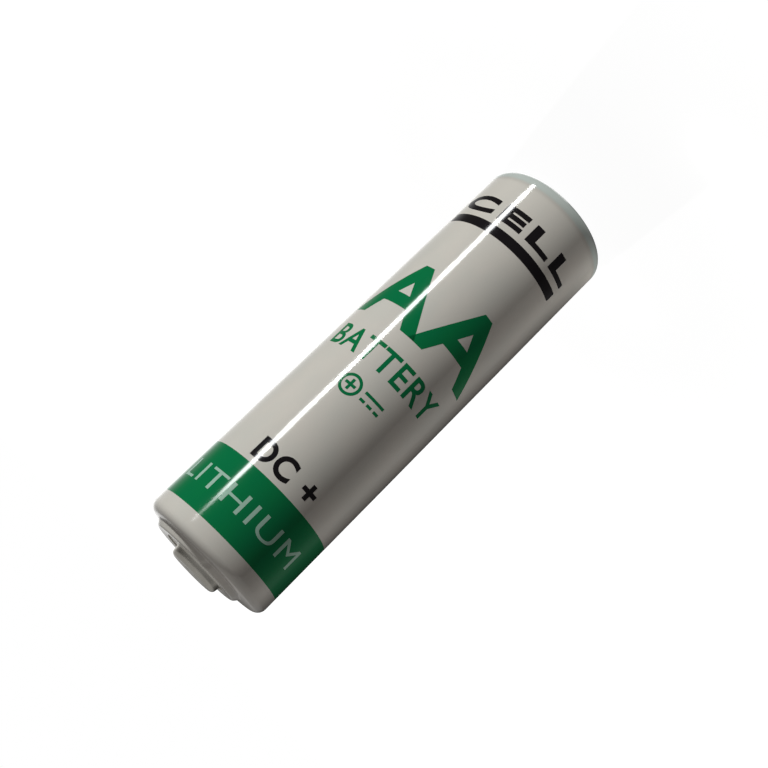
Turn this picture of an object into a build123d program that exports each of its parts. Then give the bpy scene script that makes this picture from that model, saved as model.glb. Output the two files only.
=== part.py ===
from build123d import *
import os

# AA-size lithium bobbin cell: a welded steel can in a printed heat-shrink sleeve.
# The cell stands on its negative face with its axis along +Z, and the origin is the
# centre of that face. Sizes are in millimetres. Every sub-part is written to
# parts/NAME.step in its assembled place.

# Outside of the finished cell.
cell_height = 50.3
sleeve_radius = 7.15
film = 0.10

# Can: a drawn steel cup whose bottom is the negative contact.
can_radius = sleeve_radius - film
can_wall = 0.30
floor_thickness = 0.40
contact_radius = 5.0
contact_rise = 0.15
contact_slope = 0.30
bottom_blend = 0.15
bottom_corner = 0.80
shoulder_corner = 1.00
shoulder_top = 48.60
mouth_land = 0.05

# Lid: a disc butt-welded into the mouth of the can, with a collar for the glass.
cover_thickness = 0.80
cover_radius = can_radius - shoulder_corner - mouth_land
collar_length = 0.60
collar_wall = 0.40
glass_radius = 1.90
weld_radius = 0.25

# Hollow feedthrough: the cell is filled through it, then a ball and a pin close it.
tube_radius = 0.75
tube_bore = 0.40
tube_low = 45.60
ball_height = 48.15

# Positive cap, pressed from sheet, standing on an insulating washer.
cap_sheet = 0.25
brim_radius = 4.10
brim_top = 49.30
button_radius = 2.70
button_draft = 0.06
button_foot_fillet = 0.20
button_top_fillet = 0.45
washer_radius = 4.30
washer_bore = 2.95

# Resin cast round the feedthrough to keep moisture off the glass.
potting_radius = 2.30
potting_edge = 0.12
potting_rise = 0.45

# Shrink sleeve: how far the film is folded over each end.
lip_radius = 5.70
mouth_radius = 3.60
step_top_radius = 4.55
step_foot_radius = 5.00
step_foot_rise = 0.14
step_fillet = 0.22

# Electrodes, from the wall inwards.
anode_thickness = 0.85
anode_low = 2.00
anode_high = 42.00
anode_gap = 1.00
separator_thickness = 0.30
separator_high = 43.20
disc_thickness = 0.50
disc_clearance = 0.10
cathode_high = 41.80
collector_radius = 1.65
collector_wall = 0.15
collector_foot = 0.25
collector_high = 41.20
collector_slit = 0.60
top_washer_thickness = 0.40
top_washer_bore = 2.60
liner_thickness = 0.30
liner_bore = 1.20

# Nickel ribbon from the collector to the feedthrough.
ribbon_width = 1.60
ribbon_sheet = 0.12
ribbon_bend = 0.55
ribbon_low = 38.20
ribbon_leaves_core = 42.40
ribbon_loop_height = 44.10
ribbon_loop_reach = 2.45
ribbon_meets_tube = 45.30
ribbon_high = 46.70
ribbon_edge_clearance = 0.01

# Free electrolyte standing in the hollow core of the cathode.
electrolyte_high = 37.50
electrolyte_clearance = 0.05

# Places worked out from the sizes above.
can_inside = can_radius - can_wall
disc_radius = can_inside - disc_clearance
inner_floor = contact_rise + floor_thickness
disc_top = inner_floor + disc_thickness
bottom_disc_radius = can_radius - bottom_corner
anode_inside = can_inside - anode_thickness
separator_inside = anode_inside - separator_thickness
cover_under = shoulder_top - cover_thickness
collar_low = cover_under - collar_length
cap_ceiling = cell_height - cap_sheet


def turned(outline):
    """Spins a closed outline, drawn as (radius, height), about the cell's axis."""
    return revolve(Plane.XZ * outline, Axis.Z)


def ring(inside, outside, low, high):
    """A plain tube or washer about the cell's axis."""
    middle = ((inside + outside) / 2, (low + high) / 2)
    return turned(Pos(*middle) * Rectangle(outside - inside, high - low))


def rod(radius, low, high):
    """A plain round bar about the cell's axis."""
    return ring(0, radius, low, high)


def sheet_outline(points, radii, thickness, side):
    """The section of a bent sheet: a filleted line given thickness on one side."""
    line = FilletPolyline(*points, radius=radii)
    return make_face(Wire(line.edges()).offset_2d(thickness, Kind.ARC, side).edges())


def can_body():
    """The can before welding: contact face, wall and the shoulder turned inwards."""
    slope_end = contact_radius + contact_slope
    outside = FilletPolyline(
        (contact_radius, 0),
        (slope_end, contact_rise),
        (can_radius, contact_rise),
        (can_radius, shoulder_top),
        (cover_radius, shoulder_top),
        radius=[bottom_blend, bottom_corner, shoulder_corner],
    )
    inside = FilletPolyline(
        (contact_radius - floor_thickness, floor_thickness),
        (slope_end - floor_thickness, inner_floor),
        (can_inside, inner_floor),
        (can_inside, shoulder_top - can_wall),
        (cover_radius, shoulder_top - can_wall),
        radius=[bottom_blend, bottom_corner - can_wall, shoulder_corner - can_wall],
    )
    rest = Polyline(
        (contact_radius, 0),
        (0, 0),
        (0, floor_thickness),
        (contact_radius - floor_thickness, floor_thickness),
    )
    mouth = Line((cover_radius, shoulder_top), (cover_radius, shoulder_top - can_wall))
    edges = outside.edges() + inside.edges() + rest.edges() + mouth.edges()
    return turned(make_face(edges))


def cover_body():
    """The lid before welding, with the collar that holds the glass."""
    plate = ring(glass_radius, cover_radius, cover_under, shoulder_top)
    collar = ring(glass_radius, glass_radius + collar_wall, collar_low, cover_under)
    return plate + collar


def weld_zone():
    """The round track that the weld melts, centred on the seam of can and lid."""
    return turned(Pos(cover_radius, shoulder_top) * Circle(weld_radius))


def shrink_sleeve():
    """Printed film, shrunk tight on the wall and folded over both ends."""
    inner_line = (
        (lip_radius, contact_rise),
        (can_radius, contact_rise),
        (can_radius, shoulder_top),
        (step_foot_radius, shoulder_top + step_foot_rise),
        (step_top_radius, brim_top),
        (mouth_radius, brim_top),
    )
    radii = [bottom_corner, shoulder_corner, step_fillet, step_fillet]
    return turned(sheet_outline(inner_line, radii, film, Side.RIGHT))


def positive_cap():
    """The button contact: a flat brim with a low round button drawn up from it."""
    outer_line = (
        (brim_radius, brim_top),
        (button_radius + button_draft, brim_top),
        (button_radius - button_draft, cell_height),
        (0, cell_height),
    )
    radii = [button_foot_fillet, button_top_fillet]
    return turned(sheet_outline(outer_line, radii, cap_sheet, Side.LEFT))


def seal_potting():
    """Resin over the glass: thin at its rim and drawn up round the tube."""
    outline = Polyline(
        (tube_radius, shoulder_top),
        (potting_radius, shoulder_top),
        (potting_radius, shoulder_top + potting_edge),
        (tube_radius, shoulder_top + potting_rise),
        close=True,
    )
    return turned(make_face(outline))


def lithium_anode():
    """Lithium foil rolled against the wall, with a gap where its ends meet."""
    foil = ring(anode_inside, can_inside, anode_low, anode_high)
    gap = Pos(-can_inside, 0, (anode_low + anode_high) / 2)
    return foil - gap * Box(can_inside, anode_gap, anode_high)


def current_collector():
    """Nickel grid rolled into a slit tube that lines the core of the cathode."""
    low = disc_top + collector_foot
    tube = ring(collector_radius - collector_wall, collector_radius, low, collector_high)
    slit = Pos(-collector_radius, 0, (low + collector_high) / 2)
    return tube - slit * Box(collector_radius, collector_slit, collector_high)


def collector_lead():
    """Ribbon welded inside the collector and to the feedthrough, with a slack loop."""
    core = collector_radius - collector_wall
    reach = (core**2 - (ribbon_width / 2) ** 2) ** 0.5 - ribbon_edge_clearance
    start = reach - ribbon_sheet
    points = (
        (start, ribbon_low),
        (start, ribbon_leaves_core),
        (ribbon_loop_reach, ribbon_loop_height),
        (tube_radius, ribbon_meets_tube),
        (tube_radius, ribbon_high),
    )
    radii = [ribbon_bend] * 3
    section = Plane.XZ * sheet_outline(points, radii, ribbon_sheet, Side.RIGHT)
    return extrude(section, ribbon_width / 2, both=True)


weld = weld_zone()
can = can_body()
cover = cover_body()

cell = {
    "shrink_sleeve": shrink_sleeve(),
    "can": can - weld,
    "cover": cover - weld,
    "rim_weld": (can + cover) & weld,
    "glass_seal": ring(tube_radius, glass_radius, collar_low, shoulder_top),
    "feedthrough_tube": ring(tube_bore, tube_radius, tube_low, cap_ceiling),
    "seal_potting": seal_potting(),
    "sealing_ball": Pos(0, 0, ball_height) * Sphere(tube_bore),
    "sealing_pin": rod(tube_bore, ball_height + tube_bore, cap_ceiling),
    "positive_cap": positive_cap(),
    "insulating_washer": ring(
        washer_bore, washer_radius, shoulder_top, brim_top - cap_sheet
    ),
    "cover_liner": ring(
        liner_bore, disc_radius, collar_low - liner_thickness, collar_low
    ),
    "collector_lead": collector_lead(),
    "current_collector": current_collector(),
    "carbon_cathode": ring(collector_radius, separator_inside, disc_top, cathode_high),
    "separator_tube": ring(separator_inside, anode_inside, disc_top, separator_high),
    "bottom_separator": rod(bottom_disc_radius, inner_floor, disc_top),
    "top_separator": ring(
        top_washer_bore,
        disc_radius,
        separator_high,
        separator_high + top_washer_thickness,
    ),
    "lithium_anode": lithium_anode(),
    "electrolyte": rod(
        collector_radius - collector_wall - electrolyte_clearance,
        disc_top,
        electrolyte_high,
    ),
}

os.makedirs("parts", exist_ok=True)
for name, shape in cell.items():
    shape.label = name
    export_step(shape, f"parts/{name}.step")
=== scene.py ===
import math

import bpy
from mathutils import Matrix, Vector, noise


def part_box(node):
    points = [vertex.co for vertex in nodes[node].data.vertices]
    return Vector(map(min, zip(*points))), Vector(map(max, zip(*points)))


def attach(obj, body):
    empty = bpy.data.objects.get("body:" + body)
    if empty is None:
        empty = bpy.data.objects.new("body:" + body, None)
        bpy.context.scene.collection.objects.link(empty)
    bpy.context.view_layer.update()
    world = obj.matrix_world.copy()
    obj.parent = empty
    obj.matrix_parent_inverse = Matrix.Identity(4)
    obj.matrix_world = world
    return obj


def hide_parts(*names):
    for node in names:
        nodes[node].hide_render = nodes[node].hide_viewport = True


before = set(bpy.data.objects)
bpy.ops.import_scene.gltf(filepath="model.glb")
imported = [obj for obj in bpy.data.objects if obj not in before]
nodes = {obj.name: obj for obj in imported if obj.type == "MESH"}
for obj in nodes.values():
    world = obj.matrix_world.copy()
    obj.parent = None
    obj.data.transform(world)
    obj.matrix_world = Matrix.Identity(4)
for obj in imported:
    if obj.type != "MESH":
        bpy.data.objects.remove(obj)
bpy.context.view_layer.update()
mm = 0.001
mergeReach = 0.0004  # points closer than this, in the units of modelling, become one
print("frame loaded:", len(nodes), "nodes")

# The new pieces are modelled in millimetres and brought to metres when they are settled.
sleeveLow, sleeveHigh = (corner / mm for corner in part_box("shrink_sleeve"))
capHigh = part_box("positive_cap")[1] / mm
wallRadius = sleeveHigh.x


# Editing by selection

def deselectAll():
    if bpy.context.object and bpy.context.object.mode != "OBJECT":
        bpy.ops.object.mode_set(mode="OBJECT")
    bpy.ops.object.select_all(action="DESELECT")


def workOn(*pieces):
    deselectAll()
    for piece in pieces:
        piece.select_set(True)
    bpy.context.view_layer.objects.active = pieces[0]


def editAll(piece):
    workOn(piece)
    bpy.ops.object.mode_set(mode="EDIT")
    bpy.ops.mesh.select_all(action="SELECT")


def objectMode():
    bpy.ops.object.mode_set(mode="OBJECT")


def named(name):
    piece = bpy.context.object
    piece.name = piece.data.name = name
    return piece


def applyModifier(piece, kind, **settings):
    workOn(piece)
    modifier = piece.modifiers.new(kind.title(), kind)
    for key, value in settings.items():
        setattr(modifier, key, value)
    bpy.ops.object.modifier_apply(modifier=modifier.name)


def mendShell(piece):
    editAll(piece)
    bpy.ops.mesh.remove_doubles(threshold=mergeReach)
    bpy.ops.mesh.normals_make_consistent(inside=False)
    objectMode()


def settle(piece, smoothAngle=40):
    workOn(piece)
    piece.scale = (mm, mm, mm)
    bpy.ops.object.transform_apply(location=True, rotation=True, scale=True)
    bpy.ops.object.shade_smooth_by_angle(angle=math.radians(smoothAngle))


def ramp(low, high, value):  # 0 below low, 1 above high, an even S between them
    share = max(0.0, min(1.0, (value - low) / (high - low)))
    return share * share * (3 - 2 * share)


# Camera: above and in front of the cell, rolled until the cell lies slantwise

cameraSet = {
    "aimHeight": 24.57,
    "distance": 116.1,
    "elevation": 16.16,
    "roll": -134.465,
    "lens": 55.867,
    "sensor": 36,
    "shift": (-0.00052, -0.00028),
    "clip": 5.0,
}

tilt = math.radians(cameraSet["elevation"])
bpy.ops.object.camera_add()
camera = named("camera")
camera.data.lens = cameraSet["lens"]
camera.data.sensor_width = cameraSet["sensor"]
camera.data.shift_x, camera.data.shift_y = cameraSet["shift"]
camera.data.clip_start = cameraSet["clip"] * mm
cameraPlace = Vector((
    0,
    -math.cos(tilt) * cameraSet["distance"],
    math.sin(tilt) * cameraSet["distance"] + cameraSet["aimHeight"],
)) * mm
camera.matrix_world = (
    Matrix.Translation(cameraPlace)
    @ Matrix.Rotation(math.pi / 2 - tilt, 4, "X")
    @ Matrix.Rotation(math.radians(cameraSet["roll"]), 4, "Z")
)
bpy.context.scene.camera = camera
bpy.context.scene.view_settings.view_transform = "Standard"
print("camera set")


# Nodes of a material

def addNode(tree, kind, sockets=None, **settings):
    made = tree.nodes.new("ShaderNode" + kind)
    for key, value in settings.items():
        setattr(made, key, value)
    for key, value in (sockets or {}).items():
        if isinstance(value, bpy.types.NodeSocket):
            tree.links.new(value, made.inputs[key])
        else:
            made.inputs[key].default_value = value
    return made


def newMaterial(name):
    material = bpy.data.materials.new(name)
    material.use_nodes = True
    tree = material.node_tree
    return material, tree, tree.nodes["Principled BSDF"]


def placeOf(tree, size, stretch=(1, 1, 1)):  # size of the pattern in millimetres
    scale = [part / (size * mm) for part in stretch]
    where = addNode(tree, "TexCoord").outputs["Object"]
    return addNode(tree, "Mapping", {"Vector": where, "Scale": scale}).outputs["Vector"]


def cloud(tree, size, stretch=(1, 1, 1), detail=3.0, roughness=0.5):
    sockets = {
        "Vector": placeOf(tree, size, stretch),
        "Scale": 1.0,
        "Detail": detail,
        "Roughness": roughness,
    }
    return addNode(tree, "TexNoise", sockets).outputs["Fac"]


def colours(tree, factor, stops):  # stops: {position: colour}
    blend = addNode(tree, "ValToRGB", {"Fac": factor})
    elements = blend.color_ramp.elements
    for index, (position, colour) in enumerate(sorted(stops.items())):
        element = elements[index] if index < 2 else elements.new(position)
        element.position = position
        element.color = (*colour, 1)
    return blend.outputs["Color"]


def spread(tree, value, low, high, fromLow=0.3, fromHigh=0.7):
    sockets = {
        "Value": value,
        "From Min": fromLow,
        "From Max": fromHigh,
        "To Min": low,
        "To Max": high,
    }
    return addNode(tree, "MapRange", sockets).outputs["Result"]


def bump(tree, height, depth, under=None):  # depth in millimetres
    sockets = {"Height": height, "Distance": depth * mm, "Strength": 1.0}
    if under:
        sockets["Normal"] = under
    return addNode(tree, "Bump", sockets).outputs["Normal"]


def coat(tree, shader, colour=None, roughness=None, normal=None):
    for key, value in (("Base Color", colour), ("Roughness", roughness), ("Normal", normal)):
        if value is not None:
            tree.links.new(value, shader.inputs[key])


# Printed film and its inks share one skin, so that the gloss runs on across the print

filmSkin = {
    "waveSize": 7.0,
    "waveDepth": 0.003,
    "grainSize": 0.5,
    "grainDepth": 0.0001,
    "blotchSize": 3.2,
    "rubSize": 0.9,
    "roughness": (0.098, 0.110),
    "ior": 1.5,
    # the turn band: painted shade just above where the film turns under, with the clear rim's tint
    # fading in below it
    "turnHeight": 1.55,
    "turnReach": 0.5,
    "turnTintAndShade": {0.2: (0.80, 0.905, 0.93), 0.5: (0.86,) * 3, 0.8: (0.98,) * 3, 1.0: (1, 1, 1)},
}
filmTones = {  # darker and lighter patches
    "filmWhite": ((0.750, 0.728, 0.655), (0.800, 0.755, 0.675)),
    "filmGreen": ((0.003, 0.205, 0.072), (0.004, 0.222, 0.067)),
    "filmClear": ((0.60, 0.66, 0.61), (0.66, 0.71, 0.66)),
    "inkBlack": ((0.011, 0.009, 0.011), (0.015, 0.013, 0.014)),
    "inkGreen": ((0.003, 0.205, 0.072), (0.004, 0.222, 0.067)),
    "inkMint": ((0.42, 0.65, 0.52), (0.45, 0.68, 0.54)),
}


def filmFinish(name, dark, light):
    material, tree, shader = newMaterial(name)
    blotch = cloud(tree, filmSkin["blotchSize"], (1, 1, 0.6), detail=4)
    skin = colours(tree, blotch, {0.32: dark, 0.68: light})
    if name == "filmWhite":  # painted shade in a band round the cell just above where the film turns under it, with the clear rim's tint fading in below
        height = addNode(tree, "SeparateXYZ", {"Vector": placeOf(tree, 1)}).outputs["Z"]
        low, high = (filmSkin["turnHeight"] + side * filmSkin["turnReach"] for side in (-1, 1))
        foldTintAndShade = colours(tree, spread(tree, height, 0, 1, low, high), filmSkin["turnTintAndShade"])
        tintedAndShaded = {"Fac": 1.0, "Color1": skin, "Color2": foldTintAndShade}
        skin = addNode(tree, "MixRGB", tintedAndShaded, blend_type="MULTIPLY").outputs["Color"]
    rub = cloud(tree, filmSkin["rubSize"], (1, 1, 0.25), detail=3)
    ripple = cloud(tree, filmSkin["waveSize"], (1, 1, 0.5), detail=1)
    grain = cloud(tree, filmSkin["grainSize"], detail=2)
    rippled = bump(tree, ripple, filmSkin["waveDepth"])
    coat(
        tree,
        shader,
        skin,
        spread(tree, rub, *filmSkin["roughness"]),
        bump(tree, grain, filmSkin["grainDepth"], rippled),
    )
    shader.inputs["IOR"].default_value = filmSkin["ior"]
    return material


films = {name: filmFinish(name, *tones) for name, tones in filmTones.items()}
print("film and inks mixed")


# Finishes of the metal, plastic, paper and chemical parts

def grained(name, dark, light, roughness, grain, depth, **more):
    material, tree, shader = newMaterial(name)
    patches = cloud(tree, more.get("patch", 2.5), detail=4)
    texture = cloud(tree, grain, more.get("stretch", (1, 1, 1)), detail=5, roughness=0.6)
    coat(
        tree,
        shader,
        colours(tree, patches, {0.3: dark, 0.7: light}),
        spread(tree, texture, *roughness),
        bump(tree, texture, depth),
    )
    for socket, value in more.get("sockets", {}).items():
        shader.inputs[socket].default_value = value
    return material


scuffSet = {
    "patch": 1.8, "distortion": 1.2, "detail": 3.0, "detailScale": 2.0,
    "size": 0.25, "stretch": (1, 0.12, 1), "depth": 1.5,
}


def scratched(name, dark, light, roughness, depth, rings):
    # Drawn or turned metal: rings about the axis, crossed by a few fine scuffs.
    material, tree, shader = newMaterial(name)
    patches = cloud(tree, scuffSet["patch"], detail=5)
    turned = addNode(tree, "TexWave", {
        "Vector": placeOf(tree, rings),
        "Scale": 1.0,
        "Distortion": scuffSet["distortion"],
        "Detail": scuffSet["detail"],
        "Detail Scale": scuffSet["detailScale"],
    }, wave_type="RINGS", rings_direction="Z").outputs["Fac"]
    scuffs = cloud(tree, scuffSet["size"], scuffSet["stretch"], detail=6, roughness=0.7)
    coat(
        tree,
        shader,
        colours(tree, patches, {0.3: dark, 0.7: light}),
        spread(tree, scuffs, *roughness),
        bump(tree, scuffs, depth * scuffSet["depth"], bump(tree, turned, depth)),
    )
    shader.inputs["Metallic"].default_value = 1.0
    return material


def granular(name, dark, light, roughness, size, depth):
    # Pressed powder: dull granules with a few glinting faces.
    material, tree, shader = newMaterial(name)
    granules = addNode(tree, "TexVoronoi", {"Vector": placeOf(tree, size), "Scale": 1.0})
    granules = granules.outputs["Distance"]
    coat(
        tree,
        shader,
        colours(tree, granules, {0.0: dark, 0.8: light}),
        spread(tree, cloud(tree, 0.5), *roughness),
        bump(tree, granules, depth),
    )
    return material


scratchedSet = {
    "platedSteel": {
        "dark": (0.56, 0.55, 0.52), "light": (0.72, 0.71, 0.68),
        "roughness": (0.22, 0.42), "depth": 0.0012, "rings": 0.30,
    },
    "capSteel": {
        "dark": (0.60, 0.57, 0.50), "light": (0.76, 0.73, 0.66),
        "roughness": (0.20, 0.32), "depth": 0.0005, "rings": 0.16,
    },
    "stainlessSteel": {
        "dark": (0.50, 0.50, 0.50), "light": (0.64, 0.64, 0.63),
        "roughness": (0.2, 0.36), "depth": 0.0010, "rings": 0.10,
    },
}
grainedSet = {
    "weldSteel": {
        "dark": (0.30, 0.26, 0.22), "light": (0.62, 0.58, 0.54), "roughness": (0.28, 0.5),
        "grain": 0.12, "depth": 0.006, "patch": 0.6, "sockets": {"Metallic": 1.0},
    },
    "nickelStrip": {
        "dark": (0.60, 0.57, 0.50), "light": (0.74, 0.70, 0.62), "roughness": (0.24, 0.42),
        "grain": 0.2, "depth": 0.001, "stretch": (1, 1, 0.1), "sockets": {"Metallic": 1.0},
    },
    "washerPlastic": {
        "dark": (0.03, 0.03, 0.032), "light": (0.05, 0.05, 0.052), "roughness": (0.38, 0.55),
        "grain": 0.15, "depth": 0.003,
    },
    "pottingResin": {
        "dark": (0.05, 0.035, 0.02), "light": (0.09, 0.06, 0.03), "roughness": (0.12, 0.3),
        "grain": 0.6, "depth": 0.01,
    },
    "sealGlass": {
        "dark": (0.06, 0.10, 0.09), "light": (0.12, 0.18, 0.16), "roughness": (0.04, 0.12),
        "grain": 0.3, "depth": 0.001, "sockets": {"Coat Weight": 0.6},
    },
    "linerPaper": {
        "dark": (0.50, 0.42, 0.30), "light": (0.62, 0.54, 0.40), "roughness": (0.75, 0.92),
        "grain": 0.12, "depth": 0.008,
    },
    "separatorPaper": {
        "dark": (0.78, 0.78, 0.75), "light": (0.88, 0.88, 0.86), "roughness": (0.8, 0.95),
        "grain": 0.08, "depth": 0.010, "stretch": (1, 1, 0.25),
    },
    "lithiumFoil": {
        "dark": (0.52, 0.53, 0.55), "light": (0.70, 0.71, 0.73), "roughness": (0.32, 0.55),
        "grain": 0.5, "depth": 0.004, "stretch": (1, 1, 0.15), "sockets": {"Metallic": 1.0},
    },
    "electrolyteLiquid": {
        "dark": (0.74, 0.70, 0.46), "light": (0.82, 0.78, 0.55), "roughness": (0.02, 0.05),
        "grain": 1.5, "depth": 0.001, "sockets": {"Transmission Weight": 0.85, "IOR": 1.51},
    },
}
granularSet = {
    "pressedCarbon": {
        "dark": (0.012, 0.012, 0.013), "light": (0.035, 0.035, 0.037),
        "roughness": (0.55, 0.85), "size": 0.18, "depth": 0.03,
    },
}
finishes = {
    name: make(name, **settings)
    for make, group in ((scratched, scratchedSet), (grained, grainedSet), (granular, granularSet))
    for name, settings in group.items()
}

nodeFinish = {
    "can": "platedSteel",
    "cover": "platedSteel",
    "rim_weld": "weldSteel",
    "glass_seal": "sealGlass",
    "feedthrough_tube": "stainlessSteel",
    "seal_potting": "pottingResin",
    "sealing_ball": "stainlessSteel",
    "sealing_pin": "stainlessSteel",
    "insulating_washer": "washerPlastic",
    "cover_liner": "linerPaper",
    "collector_lead": "nickelStrip",
    "current_collector": "nickelStrip",
    "carbon_cathode": "pressedCarbon",
    "separator_tube": "separatorPaper",
    "bottom_separator": "separatorPaper",
    "top_separator": "separatorPaper",
    "lithium_anode": "lithiumFoil",
    "electrolyte": "electrolyteLiquid",
}
for nodeName, finishName in nodeFinish.items():
    for slot in nodes[nodeName].material_slots:
        slot.material = finishes[finishName]
print("finishes given to", len(nodeFinish), "CAD parts")


# Turned shells: a ring is extruded and resized along a section, (radius, height)

def roundedLine(corners, steps=8):  # corners: (radius, height, fillet)
    line = []
    for index, (radius, height, fillet) in enumerate(corners):
        here = Vector((radius, height))
        if not fillet:
            line.append(here)
            continue
        back = (Vector(corners[index - 1][:2]) - here).normalized()
        ahead = (Vector(corners[index + 1][:2]) - here).normalized()
        half = back.angle(ahead) / 2
        reach = fillet / math.tan(half)
        centre = here + (back + ahead).normalized() * (fillet / math.sin(half))
        first, last = here + back * reach - centre, here + ahead * reach - centre
        line += [centre + first.slerp(last, step / steps) * fillet for step in range(steps + 1)]
    return line


def divided(line, longest):
    points = [line[0]]
    for point in line[1:]:
        parts = math.ceil((point - points[-1]).length / longest)
        start = points[-1]
        points += [start.lerp(point, part / parts) for part in range(1, parts + 1)]
    return points


def turnShell(name, line, segments, offset=lambda point: 0.0):
    deselectAll()
    bpy.ops.mesh.primitive_circle_add(
        vertices=segments, radius=line[0].x, location=(offset(line[0]), 0, line[0].y)
    )
    shell = named(name)
    editAll(shell)
    for before, after in zip(line, line[1:]):
        move = (offset(after) - offset(before), 0, after.y - before.y)
        bpy.ops.mesh.extrude_region_move(TRANSFORM_OT_translate={"value": move})
        share = after.x / before.x
        bpy.ops.transform.resize(value=(share, share, 1), center_override=(offset(after), 0, after.y))
    objectMode()
    bpy.ops.object.transform_apply(location=True, rotation=True, scale=True)
    return shell


# Shrink sleeve: printed film, folded over both ends, with the raised cap a little off centre

sleeveSet = {
    "film": 0.10,
    "lipRadius": 5.70,
    "lowCorner": 1.08,
    "shoulderCorner": 0.95,
    "shoulderHeight": 48.76,
    "footRadius": 5.32,
    "footHeight": 48.88,
    "footFillet": 0.42,
    "faceRadius": 4.84,
    "faceFillet": 0.40,
    "faceRise": 0.08,
    "mouthRadius": 3.60,
    "capOffset": 0.43,
    "segments": 192,
    "ringSpacing": 1.1,
    "bandLow": 40.3,
    "bandHigh": 46.7,
    "clearRim": 1.25,
    "waveSize": 5.0,
    "waveDepth": 0.010,
    "wavesRise": (0.6, 4),
    "wavesFall": (44, 47.5),
    "margin": 0.2,
    "lipWave": 0.14,
    "lipWaveTurns": 2.6,
    "lipWaveSeeds": {"top": 3.0, "bottom": 9.0},
    "smooth": 60,
}
pinchSet = {
    "bearing": -6, "spread": 2.6, "depth": 0.13, "lean": 8, "inner": (4.3, 4.9), "outer": (5.2, 5.9),
}

faceHeight = sleeveHigh.z + sleeveSet["faceRise"]
sleeveLine = roundedLine([
    (sleeveSet["lipRadius"], sleeveLow.z, 0),
    (wallRadius, sleeveLow.z, sleeveSet["lowCorner"]),
    (wallRadius, sleeveSet["clearRim"], 0),
    (wallRadius, sleeveSet["bandLow"], 0),
    (wallRadius, sleeveSet["bandHigh"], 0),
    (wallRadius, sleeveSet["shoulderHeight"], sleeveSet["shoulderCorner"]),
    (sleeveSet["footRadius"], sleeveSet["footHeight"], sleeveSet["footFillet"]),
    (sleeveSet["faceRadius"], faceHeight, sleeveSet["faceFillet"]),
    (sleeveSet["mouthRadius"], sleeveHigh.z, 0),
])
sleeveLine = divided(sleeveLine, sleeveSet["ringSpacing"])
shoulderStart = wallRadius - sleeveSet["shoulderCorner"]


def capShift(point):  # nothing on the wall, all of it from the foot of the step inwards
    if point.y < sleeveSet["bandHigh"]:
        return 0.0
    return sleeveSet["capOffset"] * (1 - ramp(sleeveSet["footRadius"], shoulderStart, point.x))


sleeve = turnShell("printedSleeve", sleeveLine, sleeveSet["segments"], capShift)
mendShell(sleeve)

# The film is a little uneven where it has shrunk on the can.
wall = sleeve.vertex_groups.new(name="wall")
for vertex in sleeve.data.vertices:
    height = vertex.co.z
    share = ramp(*sleeveSet["wavesRise"], height) * (1 - ramp(*sleeveSet["wavesFall"], height))
    wall.add([vertex.index], share, "REPLACE")
waves = bpy.data.textures.new("filmWaves", "CLOUDS")
waves.noise_scale = sleeveSet["waveSize"]
waves.noise_depth = 0
applyModifier(
    sleeve, "DISPLACE",
    texture=waves, strength=sleeveSet["waveDepth"], mid_level=0.5, vertex_group="wall",
)


def drawIn(vertex, share):  # towards the axis, or away from it
    vertex.co.x *= share
    vertex.co.y *= share


# One small pinch in the side of the step.
for vertex in sleeve.data.vertices:
    if vertex.co.z <= sleeveSet["shoulderHeight"] - sleeveSet["margin"]:
        continue
    reach = vertex.co.to_2d().length
    bearing = math.degrees(math.atan2(vertex.co.x, -vertex.co.y))
    lean = (vertex.co.z - sleeveSet["footHeight"]) * pinchSet["lean"]
    across = (bearing - pinchSet["bearing"] - lean) / pinchSet["spread"]
    onStep = ramp(*pinchSet["inner"], reach) * (1 - ramp(*pinchSet["outer"], reach))
    drawIn(vertex, 1 - pinchSet["depth"] * onStep * math.exp(-across * across) / reach)

# Both cut edges wander a little, as those of shrunk film do.
for vertex in sleeve.data.vertices:
    reach = math.hypot(vertex.co.x, vertex.co.y)
    if vertex.co.z > faceHeight - sleeveSet["margin"]:
        end, away = "top", ramp(sleeveSet["mouthRadius"], sleeveSet["faceRadius"], reach)
    elif vertex.co.z < sleeveLow.z + sleeveSet["margin"]:
        end, away = "bottom", ramp(sleeveSet["lipRadius"], shoulderStart + sleeveSet["margin"], reach)
    else:
        continue
    spot = vertex.co.to_2d().normalized() * sleeveSet["lipWaveTurns"]
    wander = noise.noise((spot.x, spot.y, sleeveSet["lipWaveSeeds"][end]))
    drawIn(vertex, 1 + (1 - away) * wander * sleeveSet["lipWave"] / reach)

applyModifier(sleeve, "SOLIDIFY", thickness=sleeveSet["film"], offset=-1)
for filmName in ("filmWhite", "filmGreen", "filmClear"):
    sleeve.data.materials.append(films[filmName])
for face in sleeve.data.polygons:
    if sleeveSet["bandLow"] < face.center.z < sleeveSet["bandHigh"]:
        face.material_index = 1
    elif face.center.z < sleeveSet["clearRim"]:
        face.material_index = 2
settle(sleeve, sleeveSet["smooth"])
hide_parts("shrink_sleeve")
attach(sleeve, "root")
print("sleeve shrunk on:", len(sleeve.data.polygons), "faces")


# Positive cap: brim and button, with two spot welds where it meets the pin

capSet = {
    "sheet": 0.25,
    "brimHeight": 49.30,
    "brimRadius": 4.10,
    "buttonFoot": 2.76,
    "footFillet": 0.20,
    "buttonTop": 2.64,
    "topFillet": 0.45,
    "edge": {"in": 0.04, "down": 0.06},
    "hub": 0.05,
    "hubReach": 0.06,
    "segments": 128,
    "ringSpacing": 0.09,
    "dish": 0.03,
    "dishFrom": 0.9,
    "dishMargin": 0.1,
    "flatness": 0.001,
    "smooth": 50,
}
spotWeld = {
    "reach": 0.52, "aside": 0.08, "radius": 0.24, "depth": 0.07,
    "floor": 0.55, "rim": 0.3, "rimAt": 1.25, "rimSpread": 0.18,
}

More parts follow.
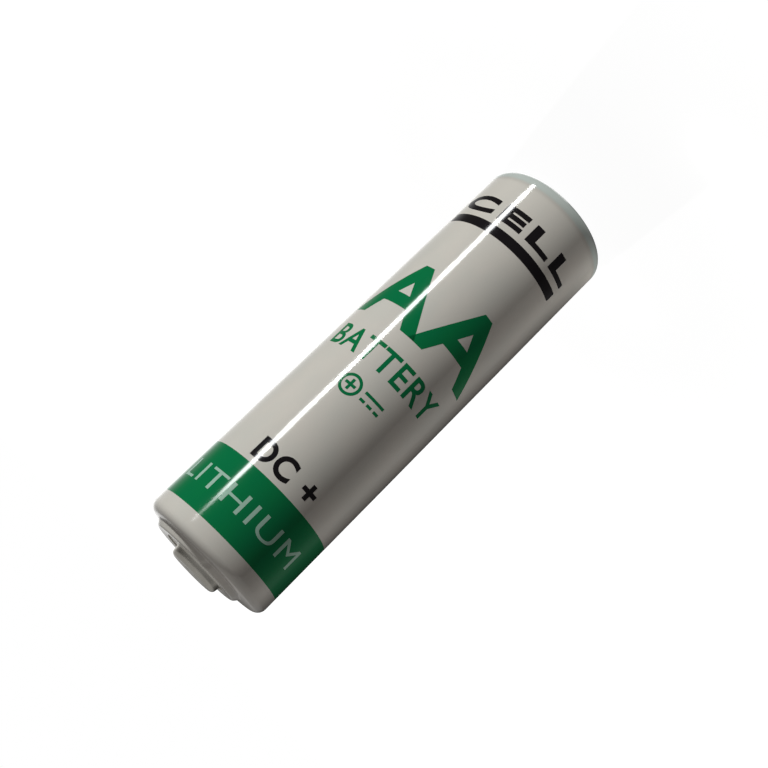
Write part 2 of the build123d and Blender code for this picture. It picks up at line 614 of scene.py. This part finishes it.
capLine = roundedLine([
    (capSet["brimRadius"], capSet["brimHeight"] - capSet["edge"]["down"], 0),
    (capSet["brimRadius"] - capSet["edge"]["in"], capSet["brimHeight"], 0),
    (capSet["buttonFoot"], capSet["brimHeight"], capSet["footFillet"]),
    (capSet["buttonTop"], capHigh.z, capSet["topFillet"]),
    (capSet["hub"], capHigh.z, 0),
])
cap = turnShell("contactCap", divided(capLine, capSet["ringSpacing"]), capSet["segments"])
editAll(cap)
bpy.ops.mesh.select_all(action="DESELECT")
objectMode()
for vertex in cap.data.vertices:
    vertex.select = vertex.co.to_2d().length < capSet["hubReach"]
bpy.ops.object.mode_set(mode="EDIT")
bpy.ops.mesh.merge(type="CENTER")
objectMode()
mendShell(cap)
dishEdge = capSet["buttonTop"] - capSet["topFillet"] - capSet["dishMargin"]
for vertex in cap.data.vertices:
    if vertex.co.z < capHigh.z - capSet["flatness"]:
        continue
    spot = vertex.co.to_2d()
    vertex.co.z -= capSet["dish"] * (1 - ramp(capSet["dishFrom"], dishEdge, spot.length))
    for side in (-1, 1):
        middle = Vector((side * spotWeld["reach"], side * spotWeld["aside"]))
        share = (spot - middle).length / spotWeld["radius"]
        rim = math.exp(-((share - spotWeld["rimAt"]) / spotWeld["rimSpread"]) ** 2)
        vertex.co.z -= spotWeld["depth"] * (1 - ramp(spotWeld["floor"], 1.0, share))
        vertex.co.z += spotWeld["depth"] * spotWeld["rim"] * rim
applyModifier(cap, "SOLIDIFY", thickness=capSet["sheet"], offset=-1)
cap.data.materials.append(finishes["capSteel"])
settle(cap, capSet["smooth"])
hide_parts("positive_cap")
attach(cap, "root")
print("cap pressed:", len(cap.data.polygons), "faces")


# Print: flat shapes cut into narrow strips, given the ink's thickness and wrapped on the wall.
# Angles run round the cell from the front, heights up from the negative face, and the
# lettering stands with its head towards the negative end.

printSet = {"thickness": 0.030, "proud": 0.008, "strip": 0.25, "cutReach": 0.0001}
letterSet = {"size": 3, "curveSteps": 6}

words = {
    "printCellWord": {
        "text": "CELL", "from": -74, "to": 48, "head": 4.40, "foot": 6.60,
        "weight": 0.17, "spacing": 1.12, "ink": "inkBlack",
    },
    "printSizeLetters": {
        "text": "AA", "from": -75, "to": 55, "head": 14.7, "foot": 21.8,
        "weight": 0.26, "spacing": 1.02, "ink": "inkGreen",
    },
    "printKindWord": {
        "text": "BATTERY", "from": -66, "to": 45, "head": 23.7, "foot": 26.3,
        "weight": 0.055, "spacing": 1.08, "ink": "inkGreen",
    },
    "printPoleWord": {
        "text": "DC +", "from": -34, "to": 25, "head": 37.4, "foot": 39.75,
        "weight": 0.10, "spacing": 1.1, "ink": "inkBlack",
    },
    "printBandWord": {
        "text": "LITHIUM", "from": -72, "to": 52, "head": 42.5, "foot": 44.6,
        "weight": 0.0, "spacing": 1.12, "ink": "inkMint",
    },
}


def arcLength(angle):
    return math.radians(angle) * wallRadius


def fitOutline(outline, left, right, head, foot):
    # Sized and moved to its place on the unrolled wall: x round the cell, y up the letters.
    bpy.context.view_layer.update()
    low, high = Vector(outline.bound_box[0]), Vector(outline.bound_box[6])
    wide, tall = (right - left) / (high.x - low.x), (foot - head) / (high.y - low.y)
    workOn(outline)
    bpy.ops.object.mode_set(mode="EDIT")
    bpy.ops.curve.select_all(action="SELECT")
    bpy.ops.transform.resize(value=(wide, tall, 1), center_override=(0, 0, 0))
    bpy.ops.transform.translate(value=(left - low.x * wide, -foot - low.y * tall, 0))
    objectMode()


def wrapPrint(flat, inkName):
    left = min(vertex.co.x for vertex in flat.data.vertices)
    right = max(vertex.co.x for vertex in flat.data.vertices)
    strips = math.ceil((right - left) / printSet["strip"])
    for strip in range(1, strips):
        editAll(flat)
        across = left + (right - left) * strip / strips
        bpy.ops.mesh.bisect(
            plane_co=(across, 0, 0), plane_no=(1, 0, 0), threshold=printSet["cutReach"]
        )
        objectMode()
    mendShell(flat)
    editAll(flat)
    bpy.ops.mesh.select_mode(type="FACE")
    bpy.ops.mesh.select_all(action="DESELECT")
    objectMode()
    for face in flat.data.polygons:
        face.select = face.normal.z < 0
    bpy.ops.object.mode_set(mode="EDIT")
    bpy.ops.mesh.flip_normals()
    bpy.ops.mesh.select_mode(type="VERT")
    objectMode()
    applyModifier(flat, "SOLIDIFY", thickness=printSet["thickness"], offset=-1)
    for vertex in flat.data.vertices:
        angle = vertex.co.x / wallRadius
        radius = wallRadius + printSet["proud"] + vertex.co.z
        vertex.co = (-radius * math.sin(angle), -radius * math.cos(angle), -vertex.co.y)
    flat.data.materials.append(films[inkName])
    settle(flat)
    outward = [Vector((vertex.co.x, vertex.co.y, 0)).normalized() for vertex in flat.data.vertices]
    flat.data.normals_split_custom_set_from_vertices(outward)
    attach(flat, "root")


for wordName, word in words.items():
    deselectAll()
    bpy.ops.object.text_add()
    lettering = bpy.context.object
    lettering.data.body = word["text"]
    lettering.data.size = letterSet["size"]
    lettering.data.resolution_u = letterSet["curveSteps"]
    lettering.data.space_character = word["spacing"]
    bpy.ops.object.convert(target="CURVE")
    lettering = named(wordName)
    weight = word["weight"]  # the outline grows by this on every side once it is fitted
    left, right = arcLength(word["from"]) + weight, arcLength(word["to"]) - weight
    fitOutline(lettering, left, right, word["head"] + weight, word["foot"] - weight)
    lettering.data.dimensions = "2D"
    lettering.data.fill_mode = "BOTH"
    lettering.data.offset = weight
    bpy.ops.object.convert(target="MESH")
    wrapPrint(named(wordName), word["ink"])
print("words printed")


def flatBar(left, right, head, foot):
    middle = ((left + right) / 2, -(head + foot) / 2, 0)
    bpy.ops.mesh.primitive_plane_add(size=1, location=middle)
    bar = bpy.context.object
    bar.scale = (right - left, foot - head, 1)
    bpy.ops.object.transform_apply(location=True, rotation=True, scale=True)
    return bar


barSet = {"from": -75, "to": 48, "head": 7.3, "foot": 8.4, "corner": 0.12, "cornerSteps": 4}
deselectAll()
flatBar(arcLength(barSet["from"]), arcLength(barSet["to"]), barSet["head"], barSet["foot"])
bar = named("printBar")
editAll(bar)
bpy.ops.mesh.bevel(offset=barSet["corner"], segments=barSet["cornerSteps"], affect="VERTICES")
objectMode()
wrapPrint(bar, "inkBlack")

# A ringed plus, and the direct-current sign of a line over three dashes.
markSet = {
    "ringAt": -17.5, "ringSegments": 48, "head": 27.7, "foot": 30.0, "line": 0.30,
    "plusReach": 0.60, "signFrom": -5.0, "signTo": 13.5, "signLine": -0.55, "signDashes": 0.25,
    "dashes": 3, "dashShare": 0.66,
}
ringX = arcLength(markSet["ringAt"])
ringY = (markSet["head"] + markSet["foot"]) / 2
ringRadius = (markSet["foot"] - markSet["head"]) / 2
ringHole = (ringRadius - markSet["line"]) / ringRadius
ringMiddle = (ringX, -ringY, 0)
deselectAll()
bpy.ops.mesh.primitive_circle_add(
    vertices=markSet["ringSegments"], radius=ringRadius, location=ringMiddle
)
ring = bpy.context.object
editAll(ring)
bpy.ops.mesh.extrude_region_move()
bpy.ops.transform.resize(value=(ringHole, ringHole, 1), center_override=ringMiddle)
objectMode()
bpy.ops.object.transform_apply(location=True, rotation=True, scale=True)
reach, half = markSet["plusReach"], markSet["line"] / 2
signLeft, signRight = arcLength(markSet["signFrom"]), arcLength(markSet["signTo"])
signTop = ringY + markSet["signLine"]
marks = [
    ring,
    flatBar(ringX - reach, ringX + reach, ringY - half, ringY + half),
    flatBar(ringX - half, ringX + half, ringY - reach, ringY - half),
    flatBar(ringX - half, ringX + half, ringY + half, ringY + reach),
    flatBar(signLeft, signRight, signTop, signTop + markSet["line"]),
]
pitch = (signRight - signLeft) / (markSet["dashes"] - 1 + markSet["dashShare"])
dashTop = ringY + markSet["signDashes"]
for dash in range(markSet["dashes"]):
    left = signLeft + dash * pitch
    right = left + pitch * markSet["dashShare"]
    marks.append(flatBar(left, right, dashTop, dashTop + markSet["line"]))
workOn(*marks)
bpy.ops.object.join()
wrapPrint(named("printMarks"), "inkGreen")
print("bar and marks printed")


# Floor: pale and plain. It glows, so that the light on it is even, and only the camera sees
# it, which leaves the gloss of the film to the studio round it.

floorSet = {
    "size": 4.0, "near": 0.965, "far": 1.06, "fadeFrom": 20, "fadeTo": 90,
    "patch": 12, "paint": {0.3: (0.10,) * 3, 0.7: (0.10 * 1.1,) * 3},
}


def hideFrom(thing, *kinds):
    for kind in kinds:
        setattr(thing, "visible_" + kind, False)


deselectAll()
bpy.ops.mesh.primitive_plane_add(size=floorSet["size"])
floor = named("studioFloor")
floorPaint, floorTree, floorShader = newMaterial("studioFloor")
place = addNode(floorTree, "TexCoord").outputs["Object"]
distance = addNode(floorTree, "VectorMath", {0: place}, operation="LENGTH").outputs["Value"]
glow = spread(
    floorTree, distance, floorSet["near"], floorSet["far"],
    floorSet["fadeFrom"] * mm, floorSet["fadeTo"] * mm,
)
paint = cloud(floorTree, floorSet["patch"])
coat(floorTree, floorShader, colours(floorTree, paint, floorSet["paint"]))
floorShader.inputs["Roughness"].default_value = 1.0
floorShader.inputs["Specular IOR Level"].default_value = 0.0
floorShader.inputs["Emission Color"].default_value = (1, 1, 1, 1)
floorTree.links.new(glow, floorShader.inputs["Emission Strength"])
floor.data.materials.append(floorPaint)
hideFrom(floor, "diffuse", "glossy", "transmission", "volume_scatter", "shadow")

# Surround: white behind the cell, a dim even fill, and soft panels that only gloss shows.
# Panels: bearing in degrees round from the front, towards the viewer's right, and brightness.

surroundSet = {
    "fill": (0.069, 0.064, 0.064),
    "panels": {
        0: 0.03, 50: 0.02, 110: 0.03, 122: 0.08, 132: 0.26, 143: 0.50, 154: 0.90, 164: 1.25,
        176: 1.25, 181: 0.03, 206: 0.01, 222: 0.02, 238: 0.06, 248: 0.18, 258: 0.20, 270: 0.09,
        280: 0.05, 300: 0.03, 360: 0.03,
    },
    "ceiling": 0.32,
    "ceilingFrom": 0.02,
    "ceilingFull": 0.30,
}
world = bpy.data.worlds.new("studio")
bpy.context.scene.world = world
world.use_nodes = True
sky = world.node_tree
sky.nodes.clear()
ray = addNode(sky, "LightPath").outputs
look = addNode(sky, "SeparateXYZ", {"Vector": addNode(sky, "TexCoord").outputs["Generated"]}).outputs
flipped = addNode(sky, "Math", {0: look["Y"], 1: -1.0}, operation="MULTIPLY").outputs["Value"]
bearing = addNode(sky, "Math", {0: look["X"], 1: flipped}, operation="ARCTAN2").outputs["Value"]
turn = addNode(sky, "Math", {0: bearing, 1: 2 * math.pi}, operation="DIVIDE").outputs["Value"]
turn = addNode(sky, "Math", {0: turn}, operation="FRACT").outputs["Value"]
panels = colours(sky, turn, {
    angle / 360: (bright,) * 3 for angle, bright in surroundSet["panels"].items()
})
above = spread(
    sky, look["Z"], 0.0, 1.0, surroundSet["ceilingFrom"], surroundSet["ceilingFull"]
)


def layer(factor, under, over):
    made = addNode(sky, "MixRGB", {"Fac": factor, "Color1": under, "Color2": over})
    return made.outputs["Color"]


ceiling = (surroundSet["ceiling"],) * 3
seen = layer(above, panels, (*ceiling, 1))
seen = layer(ray["Is Diffuse Ray"], seen, (*surroundSet["fill"], 1))
seen = layer(ray["Is Camera Ray"], seen, (1, 1, 1, 1))
backdrop = addNode(sky, "Background", {"Color": seen, "Strength": 1.0})
addNode(sky, "OutputWorld", {"Surface": backdrop.outputs["Background"]})

# Key light: a long narrow lamp, low on the right, tapered because its far end is further off.
# Its reflection in the film is the bright line down the cell, and only gloss shows it.

lampSet = {
    "stations": (
        {"at": (200.5, -104.5, -117.0), "wide": 24},
        {"at": (201.0, -106.0, -114.0), "wide": 30},
        {"at": (201.5, -109.0, -108.0), "wide": 28},
        {"at": (201.5, -119.5, -85.8), "wide": 26},
        {"at": (202.5, -134.5, -50.5), "wide": 27},
        {"at": (205.0, -141.5, -15.8), "wide": 29},
        {"at": (206.5, -146.5, 5.0), "wide": 27},
        {"at": (207.5, -148.5, 15.0), "wide": 20},
        {"at": (208.5, -150.0, 24.0), "wide": 16},
        {"at": (209.0, -151.0, 34.0), "wide": 14},
    ),
    "aim": (0, 0, 24),
    "bright": 29.0,
    "fadeFrom": 8.0,
    "fadeTo": 20.0,
    "tip": 0.10,
    "colour": (0.978, 1.0, 1.008),
}
stations = lampSet["stations"]
lampFoot, lampHead = Vector(stations[0]["at"]), Vector(stations[-1]["at"])
towardsCell = (Vector(lampSet["aim"]) - (lampFoot + lampHead) / 2).normalized()
lampSide = (lampHead - lampFoot).cross(towardsCell).normalized()
deselectAll()
bpy.ops.mesh.primitive_grid_add(x_subdivisions=1, y_subdivisions=len(stations) - 1, size=1)
lamp = named("keyLamp")
for index, vertex in enumerate(lamp.data.vertices):
    station = stations[index // 2]
    side = lampSide * station["wide"] / 2
    vertex.co = (Vector(station["at"]) + (side if index % 2 else -side)) * mm
lampGlow, lampTree, lampShader = newMaterial("lampGlow")
height = addNode(lampTree, "SeparateXYZ", {"Vector": placeOf(lampTree, 1)}).outputs["Z"]
fade = spread(
    lampTree, height, lampSet["bright"], lampSet["bright"] * lampSet["tip"],
    lampSet["fadeFrom"], lampSet["fadeTo"],
)
lampTree.links.new(fade, lampShader.inputs["Emission Strength"])
lampShader.inputs["Base Color"].default_value = (0, 0, 0, 1)
lampShader.inputs["Emission Color"].default_value = (*lampSet["colour"], 1)
lamp.data.materials.append(lampGlow)
hideFrom(lamp, "camera", "diffuse", "transmission", "volume_scatter", "shadow")

# Lights that shed light but show in no gloss. Bearings run round from the front of the cell.

def outward(bearing, rise=0.0):
    around, lift = math.radians(bearing), math.radians(rise)
    return Vector((
        math.sin(around) * math.cos(lift), -math.cos(around) * math.cos(lift), math.sin(lift)
    ))


def addLight(name, kind, energy, place=(0, 0, 0), towards=None):  # place in millimetres
    bpy.ops.object.light_add(type=kind, location=Vector(place) * mm)
    light = named(name)
    light.data.energy = energy
    if towards is not None:
        light.rotation_euler = towards.to_track_quat("Z", "Y").to_euler()
    hideFrom(light, "camera", "glossy")
    return light.data


# The light that the lamp sheds falls a little further round than its reflection shows.
shedSet = {"bearing": 63, "rise": -15, "strength": 2.30, "angle": 4}
shedFrom = outward(shedSet["bearing"], shedSet["rise"])
shed = addLight("keyLight", "SUN", shedSet["strength"], towards=shedFrom)
shed.angle = math.radians(shedSet["angle"])
shed.color = lampSet["colour"]

# Bounce: the soft light that comes back from close under the cell's darker side.
bounceSet = {"bearing": -54, "reach": 10.0, "low": -2, "high": 50, "width": 1.0, "watts": 0.000126}
bounceFrom = outward(bounceSet["bearing"])
bouncePlace = bounceFrom * bounceSet["reach"]
bouncePlace.z = (bounceSet["low"] + bounceSet["high"]) / 2
bounce = addLight("bounceLight", "AREA", bounceSet["watts"], bouncePlace, bounceFrom)
bounce.shape = "RECTANGLE"
bounce.size = bounceSet["width"] * mm
bounce.size_y = (bounceSet["high"] - bounceSet["low"]) * mm

# Small glows: two near the negative end, where the cell is closest to its pale ground, and one
# over the step of the positive end.
glowSet = {
    "endGlowWide": {"bearing": -12, "reach": 30.0, "height": 0.0, "watts": 0.0016},
    "endGlowNear": {"bearing": -86, "reach": 11.0, "height": 0.0, "watts": 0.00055},
    "stepGlow": {"bearing": -5, "reach": 9.0, "height": 60.0, "watts": 0.00044},
}
for glowName, glowPlace in glowSet.items():
    spot = outward(glowPlace["bearing"]) * glowPlace["reach"]
    spot.z = glowPlace["height"]
    addLight(glowName, "POINT", glowPlace["watts"], spot).shadow_soft_size = mm

# Rear light: straight behind the cell, so that it reaches its back and top but not its front.
rearSet = {"from": (0, 1, 0.35), "strength": 1.9, "angle": 1}
rear = addLight("rearLight", "SUN", rearSet["strength"], towards=Vector(rearSet["from"]))
rear.angle = math.radians(rearSet["angle"])
print("floor, surround and lights set")

bpy.context.view_layer.update()
